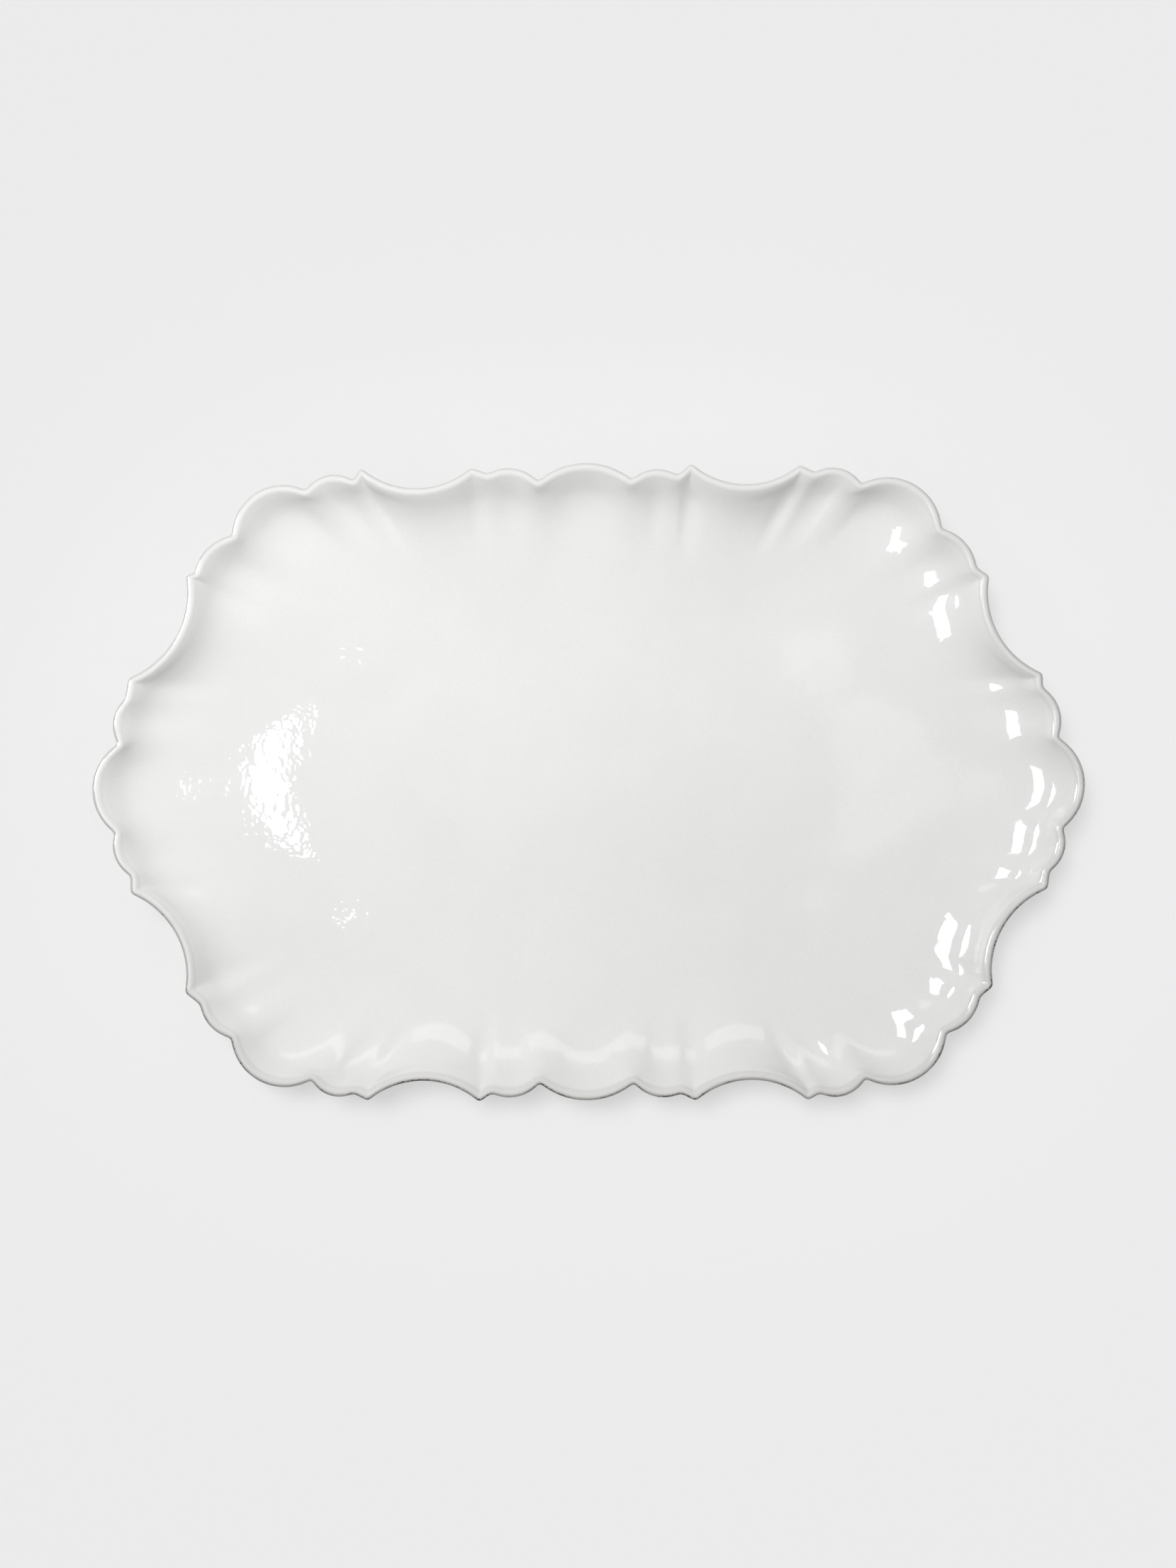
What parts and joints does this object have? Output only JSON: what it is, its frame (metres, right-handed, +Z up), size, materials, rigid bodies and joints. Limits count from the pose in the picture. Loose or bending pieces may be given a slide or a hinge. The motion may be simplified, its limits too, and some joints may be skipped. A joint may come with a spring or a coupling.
{
  "type": "serving platter",
  "caption": "Large oblong serving platter with a scalloped, turned-up rim, a shallow rounded well and an oval foot ring, glazed white over dark clay.",
  "frame": {"origin": "on the table plane, under the middle of the platter", "axes": "+Z up out of the well, +X along the platter's length, Y across it"},
  "size_m": [0.46, 0.296, 0.0421],
  "materials": {
    "clay_body": "unglazed dark stoneware, matte",
    "foot_ring": "unglazed dark stoneware, wiped smooth where it rests",
    "face_glaze": "glossy white tin glaze",
    "back_glaze": "glossy white tin glaze",
    "foot_well_glaze": "glossy white tin glaze"
  },
  "bodies": {
    "root": {"clay_body": "clay_body", "foot_ring": "foot_ring", "face_glaze": "face_glaze", "back_glaze": "back_glaze", "foot_well_glaze": "foot_well_glaze"}
  },
  "joints": []
}
